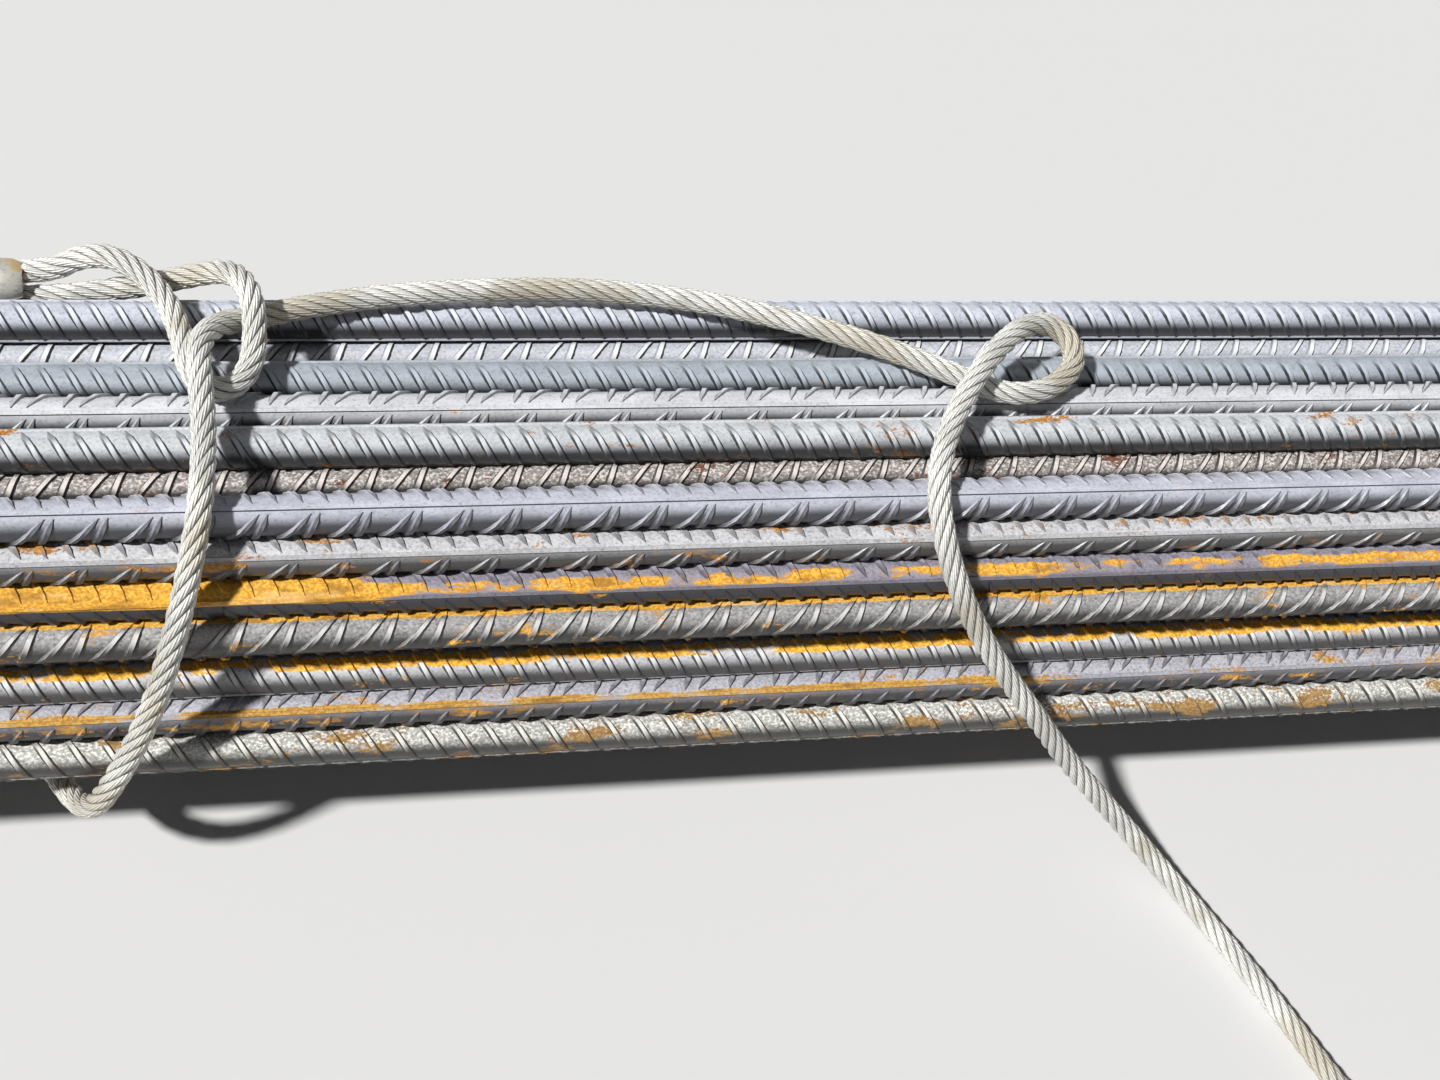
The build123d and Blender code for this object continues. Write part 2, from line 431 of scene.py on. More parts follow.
def model_rib(lean, steps, corners):
    """One crescent rib: a small profile swept round the bar on a screw, its ends drawn to points."""
    bar = bpy.context.scene.rebar_bar
    root = bar.core / 2 - RIB_SINK
    rise = bar.rib_height + RIB_SINK
    deselect()
    bpy.ops.mesh.primitive_plane_add(size=1)
    rib = bpy.context.active_object
    rib.data.transform(Matrix.Rotation(math.pi / 2, 4, "X"))
    rib.data.transform(Matrix.Diagonal((bar.rib_width, 1, rise, 1)))
    rib.data.transform(Matrix.Translation((-lean / 2, 0, root + rise / 2)))
    rib.data.transform(Matrix.Rotation(RIB_SWEEP / 2, 4, "X"))
    crest = Vector((-lean / 2, 0, root + rise))
    crest.rotate(Matrix.Rotation(RIB_SWEEP / 2, 3, "X"))
    edit(rib, lambda place, normal: place.yz.length > root + rise / 2)
    bpy.ops.transform.resize(value=(CREST_WIDTH, 1, 1), center_override=crest)
    if corners == 3:
        bpy.ops.mesh.merge(type="CENTER")
    edit_all(rib, mode="FACE")
    bpy.ops.mesh.delete(type="ONLY_FACE")
    add_modifier(
        rib, "SCREW", axis="X", angle=-RIB_SWEEP, screw_offset=lean, steps=steps, render_steps=steps,
        use_merge_vertices=False, use_smooth_shade=False)
    half_step = RIB_SWEEP / steps / 2
    for station in range(steps + 1):
        share = station / steps
        turn = RIB_SWEEP * (0.5 - share)
        foot = Vector((lean * (share - 0.5), -math.sin(turn) * root, math.cos(turn) * root))
        edit(rib, lambda place, normal: abs(math.atan2(-place.y, place.z) - turn) < half_step)
        if station in (0, steps):
            bpy.ops.mesh.merge(type="CENTER")
        else:
            swell = math.sin(math.pi * share) ** RIB_RISE
            width = POINT_WIDTH + (1 - POINT_WIDTH) * swell
            bpy.ops.transform.resize(value=(width, swell, swell), center_override=foot)
    bpy.ops.object.mode_set(mode="OBJECT")
    crests = rib.data.attributes.new("crest", "FLOAT", "POINT")
    for vertex, crest_value in zip(rib.data.vertices, crests.data):
        crest_value.value = max(0.0, min(1.0, (vertex.co.yz.length - root) / rise))
    settle(rib)
    return rib


def model_rib_row(pattern, start, end, steps, corners):
    """A row of crescent ribs along one side of a bar, from start to end."""
    pitch, ribs = PATTERNS[pattern]
    pitch *= MM
    count = max(1, int((end - start) / pitch))
    pieces = []
    for lean, place in ribs:
        rib = model_rib(lean * MM, steps, corners)
        rib.data.transform(Matrix.Translation((start + pitch / 2 + place * MM, 0, 0)))
        add_modifier(
            rib, "ARRAY", count=count, use_relative_offset=False, use_constant_offset=True,
            constant_offset_displace=(pitch, 0, 0))
        pieces.append(rib)
    return join("rib_row", pieces), start + count * pitch


def model_core(length):
    """A bar's core with its two long ribs and cut ends, along X."""
    bar = bpy.context.scene.rebar_bar
    deselect()
    bpy.ops.mesh.primitive_cylinder_add(
        vertices=bar.sides, radius=bar.core / 2, depth=length, end_fill_type="NGON")
    core = bpy.context.active_object
    core.data.transform(Matrix.Rotation(math.pi / 2, 4, "Y"))
    core.data.transform(Matrix.Rotation(math.pi / bar.sides, 4, "X"))
    flank = math.cos(math.pi / bar.sides * 0.9)
    crest_reach = bar.core / 2 + bar.long_rib_height * 0.6
    edit(core, lambda place, normal: abs(normal.y) > flank, mode="FACE")
    bpy.ops.mesh.extrude_region_shrink_fatten(
        TRANSFORM_OT_shrink_fatten={"value": bar.long_rib_height})
    edit(core, lambda place, normal: place.yz.length > crest_reach)
    bpy.ops.transform.resize(value=(1, 1, LONG_RIB_TAPER), center_override=(0, 0, 0))
    for side in (-1, 1):
        edit(core, lambda place, normal: place.x * side > length / 2 - SAME_PLACE)
        bpy.ops.transform.rotate(
            value=END_SLANT * side, orient_axis="Y", center_override=(side * length / 2, 0, 0))
        edit(core, lambda place, normal: normal.x * side > 0.9, mode="FACE")
        bpy.ops.mesh.inset(thickness=END_RIM)
        bpy.ops.transform.translate(value=(side * END_BULGE, 0, 0))
    bpy.ops.object.mode_set(mode="OBJECT")
    core.data.attributes.new("crest", "FLOAT", "POINT")
    settle(core)
    return core


def model_bar(first, second, length, ribs):
    """A bar with the first pattern on its upper side and the second on its lower one.

    Its ribs are full, coarse or only at its ends.
    """
    pieces = [model_core(length)]
    start = END_MARGIN - length / 2
    end = length / 2 - END_MARGIN
    stub = length / 2 - RIBBED_END
    near, far = FINE_ZONE
    # Each stretch's start, or none where it follows on from the last one, its end and its detail
    stretches = {
        "full": ((None, near, COARSE), (None, far, FINE), (None, end, COARSE)),
        "coarse": ((None, end, COARSE),),
        "ends": ((None, -stub, COARSE), (stub, end, COARSE)),
    }
    for pattern, turn in ((first, 0), (second, math.pi)):
        rows = []
        reached = start
        for place, until, detail in stretches[ribs]:
            row, reached = model_rib_row(pattern, place or reached, until, *detail)
            rows.append(row)
        side = join("ribs", rows)
        side.data.transform(Matrix.Rotation(turn, 4, "X"))
        pieces.append(side)
    bar = join("master_bar", pieces)
    smooth(bar, 42)
    return bar


def bars_in(node):
    """Each bar of a CAD node, as its middle and its length along X."""
    mesh = bmesh.new()
    mesh.from_mesh(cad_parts[node].data)
    bmesh.ops.remove_doubles(mesh, verts=mesh.verts, dist=SAME_PLACE)
    found = []
    left = set(mesh.verts)
    while left:
        island = [left.pop()]
        for vertex in island:
            for edge in vertex.link_edges:
                other = edge.other_vert(vertex)
                if other in left:
                    left.discard(other)
                    island.append(other)
        low, high = (
            Vector([choose(vertex.co[axis] for vertex in island) for axis in range(3)])
            for choose in (min, max))
        found.append(((low + high) / 2, high.x - low.x))
    mesh.free()
    return sorted(found, key=lambda item: item[0].y)


class REBAR_OT_bars(bpy.types.Operator):
    """Build every ribbed bar of the bundle in place of its plain solid"""
    bl_idname = "rebar.bars"
    bl_label = "Ribbed Bars"

    def execute(self, context):
        rust = {"rust_colour": tuple(context.scene.rebar_bar.rust_colour)}
        shared = {
            look: bar_finish(
                "bar_" + look, number, (0, 0, 0), shade=OTHER_PAINTED_SHADE, **{**rust, **LOOKS[look]})
            for number, look in enumerate(OTHER_LOOKS)}
        masters = {}

        def master(first, second, ribs, length):
            key = (first, second, ribs)
            if key not in masters:
                masters[key] = model_bar(first, second, length, ribs)
            return masters[key]

        nodes = sorted(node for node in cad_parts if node.startswith("row_"))
        for count, node in enumerate(nodes):
            bars = bars_in(node)
            if node in SHOWN_BARS:
                first, second, angle, look = SHOWN_BARS[node]
                plans = [(first, second, angle, "full")]
                material = bar_finish("bar_" + node, count, bars[0][0], **{**rust, **LOOKS[look]})
            else:
                hidden = "inner" in node and not node.startswith("row_1_")
                ribs = "ends" if hidden else "coarse"
                material = shared[OTHER_LOOKS[count % len(OTHER_LOOKS)]]
                plans = []
                for number in range(len(bars)):
                    first = OTHER_PATTERNS[number % len(OTHER_PATTERNS)]
                    plans.append((first, "close", OTHER_TURN * (number + count) % 180, ribs))
            copies = []
            for (middle, length), (first, second, angle, ribs) in zip(bars, plans):
                turn = Matrix.Rotation(math.radians(-angle), 4, "X")
                shape = master(first, second, ribs, length)
                copies.append(copied(shape, Matrix.Translation(middle) @ turn))
            piece = join("steel_" + node, copies)
            finish_piece(piece, material, node)
        for shape in masters.values():
            bpy.data.objects.remove(shape)
        return {"FINISHED"}


def stripe(finish, around, angle, half_width, strength, *ends):
    """Where a rusty stripe along a bar lies, which may fade out between two places along X."""
    turn = math.radians(angle)
    towards = around.dot((0, -math.cos(turn), math.sin(turn)))
    outer = math.cos(math.radians(half_width + 9))
    inner = math.cos(math.radians(max(0, half_width - 7)))
    band = towards.ramp(outer, inner) * strength
    if ends:
        band = band * (1 - finish.place().dot((1, 0, 0)).ramp(*ends))
    return band


def bar_finish(name, number, centre, tint, rust_colour, rust=0.0, grain=0.3, flakes=0.3, crest_wear_and_highlight=1.6,
               flank=1.0, dirt=(0.035, 0.035, 0.045), painted_shade_below=0.22, shade=0.97, stripes=()):
    """Mill scale with flakes, dark grain, dirty rib flanks with painted shade, worn crests with a painted
    highlight, painted shade on the lower sides, patches of rust and rusty stripes.

    tint is the scale's colour and rust how much of it is rusty. grain and flakes say how far dark grain
    and pale flakes show, crest_wear_and_highlight how much paler the ribs' crests are, partly wear and
    partly a painted highlight, and flank how far dirt and painted shade cover the ribs' flanks. shade sets
    the strength of the painted shade on the sides, which is full where the normal's rise is below
    painted_shade_below. A stripe has its angle from the front and its half width, in degrees, its strength
    and perhaps its ends.
    """
    finish = Finish(name, Specular_IOR_Level=0.6, Metallic=0.0)
    shift = (number * 3.17, number * 1.3, number * 0.7)
    crest = finish.node("ShaderNodeAttribute", {"attribute_name": "crest"}, output=2)
    outwards = finish.node("ShaderNodeTexCoord", output=1)
    along = outwards.dot((1, 0, 0))
    broad = finish.noise((45, 150, 150), shift, 2.0, 0.6)
    fine = finish.noise((700, 900, 900), shift, 2.0, 0.6)
    patches = finish.noise((34, 110, 110), shift, 4.0, 0.62)

    # Mill scale, with dirt and painted shade on the ribs' flanks, worn crests with a painted highlight,
    # # and painted shade on the bars' lower sides
    # A paler tone, for the pale flakes and for the crests' painted highlight
    pale = tuple(min(0.88, value) for value in times(tint, crest_wear_and_highlight))
    colour = finish.mix(broad.ramp(0.35, 0.7), times(tint, 0.8), tint)
    colour = finish.mix((1 - fine).ramp(0.5, 0.62) * flakes, colour, pale)
    colour = finish.mix(fine.ramp(0.56, 0.68) * (0.2 + 0.6 * grain), colour, times(tint, 0.30))
    # Dirt and painted shade at the ribs' feet; the painted shade is heavier on flanks facing +X, away from
    # the key light
    foot = crest.ramp(0.02, 0.12) * (1 - crest.ramp(0.6, 0.95))
    painted_lee_shade = 0.3 + 0.7 * along.ramp(-0.3, 0.3)
    colour = finish.mix(foot * painted_lee_shade * flank, colour, dirt)
    # Painted highlight on the ribs' crests, which are also worn paler
    colour = finish.mix(crest.ramp(0.7, 1.0) * 0.8, colour, pale)
    # Painted shade on the bars' lower sides: the less a surface faces up, the darker it is painted
    side = outwards.dot((0, 0, 1)).ramp(0.9, painted_shade_below)
    colour = finish.mix(side * shade, colour, times(tint, 0.06))

    # Rust, in patches and stripes
    spread = patches + (fine - 0.5) * 0.25
    around = finish.place((0, 1, 1), tuple(-value for value in centre)).unit()
    for plan in stripes:
        spread = spread + stripe(finish, around, *plan)
    level = 0.74 - 0.7 * rust
    rusty = spread.ramp(level - 0.03, level + 0.05)
    deep = tuple(value * share for value, share in zip(rust_colour, (0.72, 0.55, 0.5)))
    faint = tuple(0.75 * value + 0.2 for value in rust_colour)
    rust_tone = finish.mix(fine.ramp(0.4, 0.6), rust_colour, deep)
    rust_tone = finish.mix((1 - patches).ramp(0.5, 0.62) * 0.5, rust_tone, faint)
    rust_tone = finish.mix(broad.ramp(0.55, 0.7) * 0.7, rust_tone, times(deep, 0.5))
    colour = finish.mix(rusty, colour, rust_tone)

    # Sheared ends
    sheared = finish.mix(patches.ramp(0.42, 0.6), (0.26, 0.25, 0.25), (0.24, 0.14, 0.09))
    colour = finish.mix((along * along).ramp(0.8, 0.93), colour, sheared)
    finish.feed("Base Color", colour)
    finish.feed("Roughness", 0.34 + rusty * 0.45 + fine * 0.15)
    finish.bump(fine, 0.25 * MM, 0.5)
    return finish.material


# Wire rope

# The sides of a strand and of the rope's core, how much thicker a strand is than one that just
# touches the next, how far the core keeps from a strand's middle, in strand radii, and how much of
# the wires' texture goes on a metre
STRAND_SIDES = 10
CORE_SIDES = 6
STRAND_GROWTH = 1.04
CORE_GAP = 0.8
WRAP_SCALE = 100


def smooth_curve(name, points, resolution):
    """A curve object, drawn smoothly along these points, from the first to the last."""
    curve = bpy.data.curves.new(name, "CURVE")
    curve.dimensions = "3D"
    curve.resolution_u = resolution
    spline = curve.splines.new("NURBS")
    spline.points.add(len(points) - 1)
    for point, place in zip(spline.points, points):
        point.co = (*place, 1)
    spline.order_u = 3
    spline.use_endpoint_u = True
    return add_object(name, curve)


def route_line(route):
    """A rope's route, drawn smoothly, as points."""
    drawn = smooth_curve("route", [[value * MM for value in place] for place in route], 12)
    curve = drawn.data
    line = bpy.data.meshes.new_from_object(drawn)
    points = [vertex.co.copy() for vertex in line.vertices]
    bpy.data.objects.remove(drawn)
    bpy.data.meshes.remove(line)
    bpy.data.curves.remove(curve)
    return points


def evenly(points, step):
    """The line's points again, all about one step apart."""
    lengths = [0.0]
    for before, here in zip(points, points[1:]):
        lengths.append(lengths[-1] + (here - before).length)
    count = max(2, round(lengths[-1] / step))
    spaced = []
    segment = 0
    for number in range(count + 1):
        wanted = lengths[-1] * number / count
        while segment < len(points) - 2 and lengths[segment + 1] < wanted:
            segment += 1
        share = (wanted - lengths[segment]) / (lengths[segment + 1] - lengths[segment])
        spaced.append(points[segment].lerp(points[segment + 1], min(1.0, share)))
    return spaced


def untwisted_frames(points):
    """Each point with two sides of the line there, which don't turn about it."""
    frames = []
    side = None
    for number, point in enumerate(points):
        ahead = points[min(number + 1, len(points) - 1)]
        behind = points[max(number - 1, 0)]
        along = (ahead - behind).normalized()
        if side is None:
            side = along.orthogonal().normalized()
        side = (side - along * side.dot(along)).normalized()
        frames.append((point, side, along.cross(side)))
    return frames


def build_rope(name, route, settings):
    """A laid wire rope: strands wound round the route's line, each a closed tube."""
    points = evenly(route_line(route), settings.step)
    frames = untwisted_frames(points)
    length = sum((here - before).length for before, here in zip(points, points[1:]))
    step = length / (len(points) - 1)
    strand = settings.diameter / 2 / (1 + 1 / math.sin(math.pi / settings.strands)) * STRAND_GROWTH
    reach = settings.diameter / 2 - strand
    lead = 2 * math.pi * reach / settings.lay
    mesh = bmesh.new()
    wrap = mesh.loops.layers.uv.new("UVMap")

    def ring_of(turn, number):
        """A strand's ring of corners, square to the strand."""
        point, side, up = frames[number]
        angle = turn + 2 * math.pi * number * step / settings.lay
        out = side * math.cos(angle) + up * math.sin(angle)
        around = up * math.cos(angle) - side * math.sin(angle)
        across = (around - side.cross(up) * lead).normalized()
        corners = []
        for corner in range(STRAND_SIDES):
            bend = 2 * math.pi * corner / STRAND_SIDES
            spoke = out * math.cos(bend) + across * math.sin(bend)
            corners.append(mesh.verts.new(point + out * reach + spoke * strand))
        return corners

    def skin(rings, sides):
        """A closed tube of these rings, with where its faces lie round and along it."""
        for number, (first, second) in enumerate(zip(rings, rings[1:])):
            for corner in range(sides):
                following = (corner + 1) % sides
                face = mesh.faces.new((first[corner], first[following], second[following], second[corner]))
                face.smooth = True
                for loop, (around, along) in zip(face.loops, ((0, 0), (1, 0), (1, 1), (0, 1))):
                    loop[wrap].uv = ((corner + around) / sides, (number + along) * step * WRAP_SCALE)
        mesh.faces.new(reversed(rings[0]))
        mesh.faces.new(rings[-1])

    for strand_number in range(settings.strands):
        turn = 2 * math.pi * strand_number / settings.strands
        skin([ring_of(turn, number) for number in range(len(points))], STRAND_SIDES)
    core_radius = reach - strand * CORE_GAP
    turns = [2 * math.pi * corner / CORE_SIDES for corner in range(CORE_SIDES)]
    core_rings = []
    for point, side, up in frames:
        core_rings.append([
            mesh.verts.new(point + (side * math.cos(turn) + up * math.sin(turn)) * core_radius)
            for turn in turns])
    skin(core_rings, CORE_SIDES)
    data = bpy.data.meshes.new(name)
    mesh.to_mesh(data)
    mesh.free()
    rope = add_object(name, data)
    settle(rope)
    return rope, points, length


def tail_eye_route():
    """The tail eye's points, from the far end of its ferrule and back to it."""
    across = Vector((0, 0, 1)).cross(TAIL_ALONG)
    end = TAIL_START + TAIL_ALONG * FERRULE_LENGTH / MM
    route = []
    for along, sideways, up in TAIL_EYE_SHAPE:
        place = end + TAIL_ALONG * along + across * sideways
        route.append((place.x, place.y, up))
    return route


def rope_finish(settings):
    """Dusty galvanised wires, dirt between them, dirt and painted shade in the grooves between the
    strands, and a little rust.
    """
    finish = Finish("rope_wires", Specular_IOR_Level=0.45)
    wrap = finish.node("ShaderNodeTexCoord", output=2)
    wires = (wrap.dot((9, 4.2, 0)) * (2 * math.pi)).sine()
    outwards = ((wrap.dot((1, 0, 0)) + 0.25) * (2 * math.pi)).sine()
    broad = finish.noise((70, 70, 70))
    stain = finish.noise((18, 18, 18), (0.4, 0.1, 0), 4.0)
    grain = finish.noise((900, 900, 900))
    colour = tuple(settings.strand_colour)
    pale = tuple(min(1, value) for value in times(colour, 1.4))
    dark = times(colour, 0.45)
    tone = finish.mix(broad.ramp(0.35, 0.7), colour, pale)
    tone = finish.mix(stain.ramp(0.5, 0.62) * 0.6, tone, (0.50, 0.42, 0.28))
    tone = finish.mix(wires.ramp(-0.2, -1.0) * 0.55, tone, dark)
    # Dirt and painted shade in the grooves, on the strands' sides turned away from the rope's outside
    tone = finish.mix(outwards.ramp(0.62, 0.05) * 0.85, tone, times(colour, 0.25))
    tone = finish.mix(grain.ramp(0.55, 0.7) * 0.4, tone, dark)
    finish.feed("Base Color", tone)
    finish.feed("Roughness", 0.5 + grain * 0.25)
    finish.feed("Metallic", 0.35 - broad * 0.2)
    finish.bump(wires, 0.22 * MM, 0.7)
    return finish.material


class REBAR_OT_sling(bpy.types.Operator):
    """Lay the wire rope sling and its two eyes"""
    bl_idname = "rebar.sling"
    bl_label = "Wire Rope Sling"

    def execute(self, context):
        settings = context.scene.rebar_rope
        material = rope_finish(settings)
        plans = (
            ("sling", SLING_ROUTE, "sling_rope", "fitting", ["lifting_eye_ferrule"]),
            ("choking_eye", CHOKE_EYE_ROUTE, "choke_eye", "object", []),
            ("lifting_eye", tail_eye_route(), "tail_eye", "object", []),
        )
        for name, route, node, far_end, pieces in plans:
            rope, points, length = build_rope(name, route, settings)
            finish_piece(rope, material, node)
        return {"FINISHED"}


# Ferrules, wire ties and spacers

# A ferrule, the seam that its dies left, how wide its two ends are against its middle, and how wide
# the dies left it at each share of its length from the middle
FERRULE_RADIUS = 10.4 * MM
FERRULE_LENGTH = 50 * MM
FERRULE_SEAM = 0.45 * MM
FERRULE_EDGE = 0.5 * MM
ROPE_END_WIDTH = 0.70
EYE_END_WIDTH = 0.80
PRESS_MARKS = {-0.38: 0.965, -0.30: 1.0, -0.18: 0.985, 0.0: 1.0, 0.18: 0.985, 0.34: 1.0, 0.42: 0.97}


def model_ferrule(name, node, along):
    """A pressed ferrule: a tapered rope end, two seams where the dies met, and press marks."""
    low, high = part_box(node)
    deselect()
    bpy.ops.mesh.primitive_cylinder_add(
        vertices=40, radius=FERRULE_RADIUS, depth=FERRULE_LENGTH, end_fill_type="NGON")
    ferrule = bpy.context.active_object
    edit(ferrule, lambda place, normal: abs(normal.y) > 0.995, mode="FACE")
    bpy.ops.mesh.extrude_region_shrink_fatten(TRANSFORM_OT_shrink_fatten={"value": FERRULE_SEAM})
    for side, width in ((-1, ROPE_END_WIDTH), (1, EYE_END_WIDTH)):
        edit(ferrule, lambda place, normal: normal.z * side > 0.9, mode="FACE")
        bpy.ops.transform.resize(
            value=(width, width, 1), center_override=(0, 0, side * FERRULE_LENGTH / 2))
    for share in PRESS_MARKS:
        edit_all(ferrule)
        bpy.ops.mesh.bisect(plane_co=(0, 0, share * FERRULE_LENGTH), plane_no=(0, 0, 1))
    for share, swell in PRESS_MARKS.items():
        height = share * FERRULE_LENGTH
        edit(ferrule, lambda place, normal: abs(place.z - height) < 0.1 * MM)
        ring = [vertex for vertex in bmesh.from_edit_mesh(ferrule.data).verts if vertex.select]
        factor = FERRULE_RADIUS * swell / max(vertex.co.x for vertex in ring)
        bpy.ops.transform.resize(value=(factor, factor, 1), center_override=(0, 0, height))
    add_modifier(ferrule, "BEVEL", width=FERRULE_EDGE, segments=2, limit_method="ANGLE")
    turn = Vector((0, 0, 1)).rotation_difference(along).to_matrix().to_4x4()
    ferrule.data.transform(Matrix.Translation((low + high) / 2) @ turn)
    ferrule.name = name
    settle(ferrule)
    smooth(ferrule, 35)
    return ferrule


def ferrule_finish():
    """Dull pressed aluminium with scuffs, grey dirt and a yellow-brown stain."""
    finish = Finish("ferrule_metal", Specular_IOR_Level=0.5)
    scuffs = finish.noise((300, 900, 900), detail=2.0, roughness=0.7)
    broad = finish.noise((60, 60, 60), (0.3, 0, 0), 3.0, 0.6)
    stain = broad.ramp(0.46, 0.58)
    tone = finish.mix(broad.ramp(0.35, 0.65), (0.46, 0.44, 0.39), (0.64, 0.61, 0.54))
    tone = finish.mix(scuffs.ramp(0.5, 0.7) * 0.6, tone, (0.22, 0.21, 0.20))
    tone = finish.mix(stain * 0.8, tone, (0.60, 0.38, 0.13))
    finish.feed("Base Color", tone)
    finish.feed("Metallic", 0.7 - stain * 0.5)
    finish.feed("Roughness", 0.34 + scuffs * 0.3)
    finish.bump(scuffs, 0.3 * MM, 0.5)
    return finish.material


class REBAR_OT_ferrules(bpy.types.Operator):
    """Model the two pressed ferrules of the sling"""
    bl_idname = "rebar.ferrules"
    bl_label = "Ferrules"

    def execute(self, context):
        material = ferrule_finish()
        plans = (
            ("choking_eye_ferrule", "choke_ferrule", Vector((1, 0, 0))),
            ("lifting_eye_ferrule", "tail_ferrule", TAIL_ALONG))
        for name, node, along in plans:
            ferrule = model_ferrule(name, node, along)
            finish_piece(ferrule, material, node)
        return {"FINISHED"}


def convex_outline(points):
    """The outermost of these points of a section, in order."""
    ordered = sorted(set((round(y, 6), round(z, 6)) for y, z in points))
    outline = []
    for run in (ordered, ordered[::-1]):
        chain = []
        for point in run:
            while len(chain) > 1:
                (ay, az), (by, bz) = chain[-2:]
                if (by - ay) * (point[1] - az) - (bz - az) * (point[0] - ay) > 1e-9:
                    break
                chain.pop()
            chain.append(point)
        outline += chain[:-1]
    return outline


# A tie: its wire's radius and that of its plain solid, how far it clears the bars, and its twist:
# where it starts, its length, how far each wire is from its middle, its turns and its points
TIE_RADIUS = 2.65 * MM
TIE_SOLID_RADIUS = 2.75 * MM
TIE_CLEARANCE = 0.3 * MM
TWIST_START = 3 * MM
TWIST_LENGTH = 46 * MM
TWIST_REACH = 2.3 * MM
TWIST_TURNS = 2.4
TWIST_POINTS = 26
# A run of the bundle's outline is on the front where both its ends are before this Y
FRONT = -40 * MM


def tie_line(reach):
    """Points (Y, Z) of a wire drawn tight round the bars, and the middle of its front's longest run."""
    centres = []
    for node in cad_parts:
        if node.startswith("row_"):
            centres += [(middle.y, middle.z) for middle, _ in bars_in(node)]
    outline = [Vector(point) for point in convex_outline(centres)]
    runs = list(zip(outline, outline[1:] + outline[:1]))
    fronts = [run for run in runs if max(end.x for end in run) < FRONT]
    first = runs.index(max(fronts, key=lambda run: (run[1] - run[0]).length))
    runs = runs[first:] + runs[:first]
    outs = [Vector(((b - a).y, (a - b).x)).normalized() for a, b in runs]
    middle = (runs[0][0] + runs[0][1]) / 2 + outs[0] * reach
    line = []
    for (_, end), out, following in zip(runs, outs, outs[1:] + outs[:1]):
        for share in (0, 0.25, 0.5, 0.75, 1):
            way = out.lerp(following, share).normalized()
            line.append(end + way * reach)
    return middle, line


def model_tie(name, node):
    """One wire round the bundle, whose two ends are twisted together along the front."""
    low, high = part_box(node)
    bar = bpy.context.scene.rebar_bar
    wire_out = bar.core / 2 + bar.long_rib_height + TIE_CLEARANCE + TIE_RADIUS
    middle, line = tie_line(wire_out)
    x = low.x + TIE_SOLID_RADIUS

    def helix(phase):
        points = []
        for number in range(TWIST_POINTS + 1):
            share = number / TWIST_POINTS
            angle = phase + 2 * math.pi * TWIST_TURNS * share
            out = Vector((math.cos(angle), math.sin(angle))) * TWIST_REACH
            ahead = TWIST_START + share * TWIST_LENGTH
            points.append(Vector((x + ahead, middle.x + out.x, middle.y + out.y)))
        return points

    run_side = (line[0] - middle).normalized()
    phase = math.atan2(run_side.y, run_side.x)
    band = [Vector((x, y, z)) for y, z in line]
    points = helix(phase)[::-1] + band + helix(phase + math.pi)
    tie = smooth_curve(name, points, 3)
    tie.data.bevel_depth = TIE_RADIUS
    tie.data.bevel_resolution = 2
    tie.data.use_fill_caps = True
    activate(tie)
    bpy.ops.object.convert(target="MESH")
    edit_all(tie)
    bpy.ops.mesh.remove_doubles(threshold=SAME_PLACE)
    settle(tie)
    smooth(tie, 50)
    return tie


def tie_finish():
    """Annealed wire, brown-grey with thin rust."""
    finish = Finish("tie_wire", Specular_IOR_Level=0.5)
    broad = finish.noise((40, 60, 60), roughness=0.6)
    grain = finish.noise((600, 600, 600), detail=2.0, roughness=0.6)
    rusty = broad.ramp(0.4, 0.62)
    tone = finish.mix(rusty, (0.16, 0.14, 0.13), (0.27, 0.15, 0.075))
    tone = finish.mix(grain.ramp(0.5, 0.7) * 0.6, tone, (0.36, 0.17, 0.05))
    finish.feed("Base Color", tone)
    finish.feed("Metallic", 0.6 - rusty * 0.45)
    finish.feed("Roughness", 0.45 + grain * 0.3)
    finish.bump(grain, 0.2 * MM, 0.5)
    return finish.material


class REBAR_OT_ties(bpy.types.Operator):
    """Bend the two wire ties round the bundle and twist their ends"""
    bl_idname = "rebar.ties"
    bl_label = "Wire Ties"

    def execute(self, context):
        material = tie_finish()
        for side in ("left", "right"):
            tie = model_tie("binding_wire_" + side, "tie_wire_" + side)
            finish_piece(tie, material, "tie_wire_" + side)
        return {"FINISHED"}


# A spacer: each axis and how many parts it is cut into along it, so that its faces can be uneven, how
# worn its edges are, and how far its faces are uneven and over what length
SPACER_CUTS = ((1, 18), (0, 6), (2, 3))
SPACER_WEAR = 1.6 * MM
UNEVENNESS = 0.9 * MM
UNEVEN_LENGTH = 60 * MM


def model_spacer(name, node):
    """A sawn timber: a slightly uneven block with worn edges."""
    low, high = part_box(node)
    deselect()
    bpy.ops.mesh.primitive_cube_add(size=1, location=(low + high) / 2, scale=high - low)
    spacer = bpy.context.active_object
    bpy.ops.object.transform_apply(location=True, rotation=True, scale=True)
    for axis, count in SPACER_CUTS:
        for number in range(1, count):
            edit_all(spacer)
            bpy.ops.mesh.bisect(
                plane_co=low.lerp(high, number / count), plane_no=Matrix.Identity(3)[axis])
    add_modifier(spacer, "BEVEL", width=SPACER_WEAR, segments=2, limit_method="ANGLE")
    texture = bpy.data.textures.new(name, "CLOUDS")
    texture.noise_scale = UNEVEN_LENGTH
    add_modifier(
        spacer, "DISPLACE", texture=texture, strength=UNEVENNESS, mid_level=0.75, texture_coords="LOCAL")
    spacer.name = name
    settle(spacer)
    smooth(spacer, 35)
    return spacer


